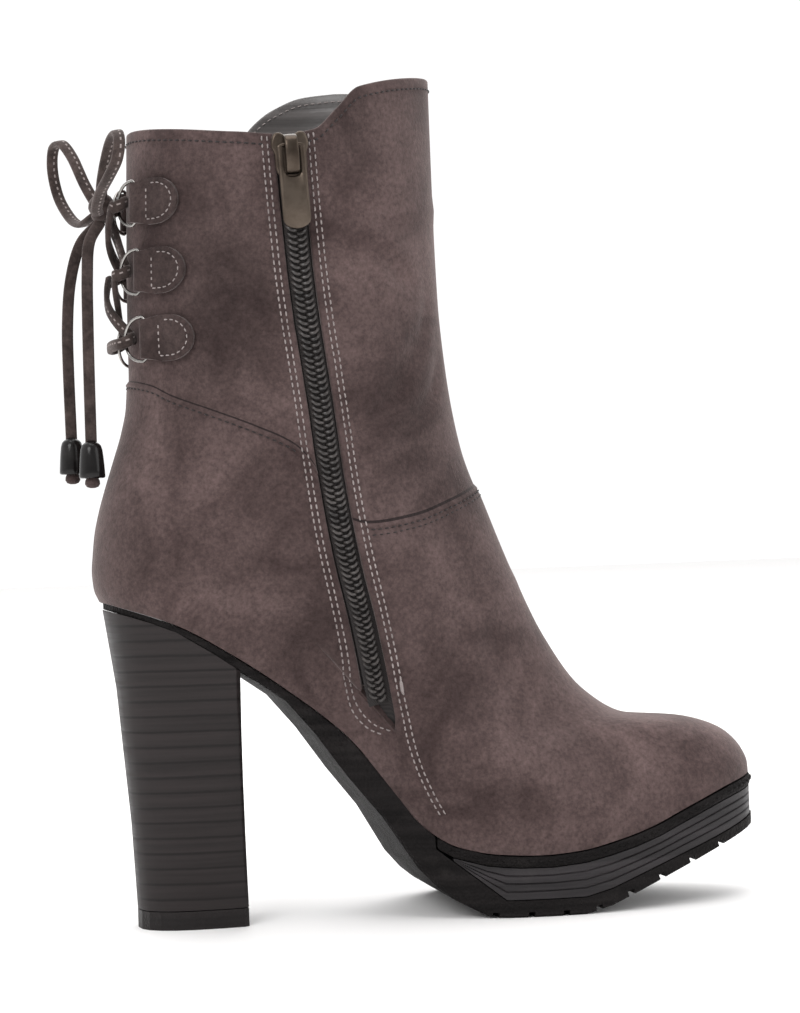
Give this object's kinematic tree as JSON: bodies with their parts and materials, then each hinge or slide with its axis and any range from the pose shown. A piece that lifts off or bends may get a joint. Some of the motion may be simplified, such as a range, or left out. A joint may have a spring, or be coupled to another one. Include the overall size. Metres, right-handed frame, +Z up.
{
  "type": "lace up heel",
  "caption": "Left ankle boot with a platform sole, a tall block heel, lacing with a bow up the back and a zip on the inner side.",
  "frame": {"origin": "middle of the heel's bottom face, on the ground", "axes": "+X towards the toe, +Y towards the outer side of this left boot, +Z up"},
  "size_m": [0.2301, 0.0888, 0.2784],
  "materials": {
    "suede": "brushed suede, matt",
    "lining": "smooth dark lining",
    "black_rubber": "textured matt",
    "dark_midsole": "smooth satin with fine lines",
    "stacked_heel": "satin with fine stacked lines",
    "zip_fabric": "woven tape and moulded coil",
    "dark_metal": "dark bronze satin",
    "bright_metal": "polished wire",
    "black_gloss": "glossy black"
  },
  "bodies": {
    "boot": {"upper": "suede", "insole": "lining", "rand": "black_rubber", "midsole": "dark_midsole", "outsole": "black_rubber", "heel_block": "stacked_heel", "heel_top_piece": "black_rubber", "zip_tape": "zip_fabric", "zip_teeth": "zip_fabric", "zip_slider": "dark_metal", "ring_tab_medial_1": "suede", "ring_tab_medial_2": "suede", "ring_tab_medial_3": "suede", "ring_tab_lateral_1": "suede", "ring_tab_lateral_2": "suede", "ring_tab_lateral_3": "suede", "d_ring_medial_1": "bright_metal", "d_ring_medial_2": "bright_metal", "d_ring_medial_3": "bright_metal", "d_ring_lateral_1": "bright_metal", "d_ring_lateral_2": "bright_metal", "d_ring_lateral_3": "bright_metal", "lace_crossings": "suede", "bow_knot": "suede", "bow_loop_medial": "suede", "bow_loop_lateral": "suede", "lace_end_medial": "suede", "lace_end_lateral": "suede", "lace_tip_medial": "black_gloss", "lace_tip_lateral": "black_gloss"},
    "pull_tab": {"zip_pull": "dark_metal"}
  },
  "joints": [
    {"name": "pull_swing", "type": "hinge", "parent": "boot", "child": "pull_tab", "pos_m": [0.0357, -0.04178, 0.25254], "axis": [-0.9974, 0.0427, -0.0579], "range_deg": [0, 165]}
  ]
}
